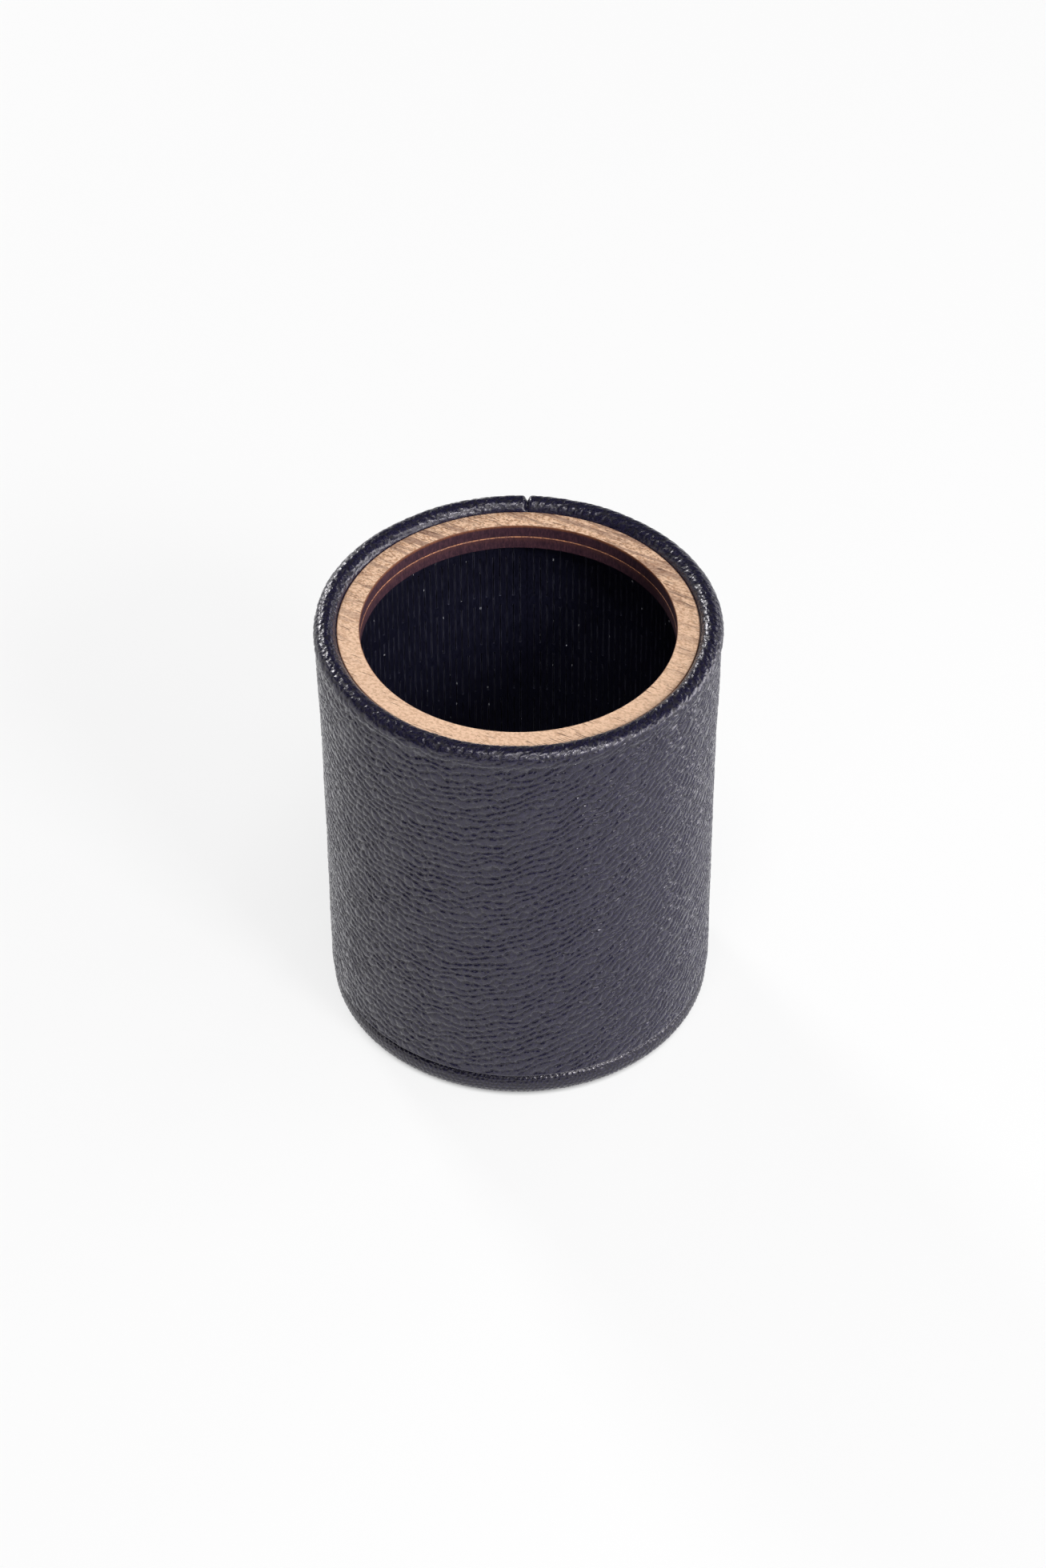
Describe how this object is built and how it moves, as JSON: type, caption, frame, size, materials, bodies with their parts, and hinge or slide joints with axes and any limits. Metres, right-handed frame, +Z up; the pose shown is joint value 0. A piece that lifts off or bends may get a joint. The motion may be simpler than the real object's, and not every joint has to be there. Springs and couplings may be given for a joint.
{
  "type": "pen holder cup",
  "caption": "Round leather-covered desk cup for pens, with a rolled rim around stacked wooden rings, a kerf-bent board sleeve and a felt-footed base disc.",
  "frame": {"origin": "centre of the felt foot, on the surface that the cup stands on", "axes": "+Z up along the cup's axis; the seam of the wall faces +Y, at the back"},
  "size_m": [0.0848, 0.0848, 0.1],
  "materials": {
    "ring_veneer": "smooth sanded face with dark pores, laser-burnt edges",
    "sleeve_board": "thin board dyed black, satin, cut through with bending kerfs",
    "cover_leather": "black pebble grain with a soft sheen",
    "plate_board": "bare board, hidden",
    "foot_felt": "black felt"
  },
  "bodies": {
    "root": {"rim_ring_upper": "ring_veneer", "rim_ring_lower": "ring_veneer", "wall_sleeve": "sleeve_board", "wall_leather": "cover_leather", "floor_disc": "sleeve_board", "base_plate": "plate_board", "base_leather": "cover_leather", "base_felt": "foot_felt"}
  },
  "joints": []
}
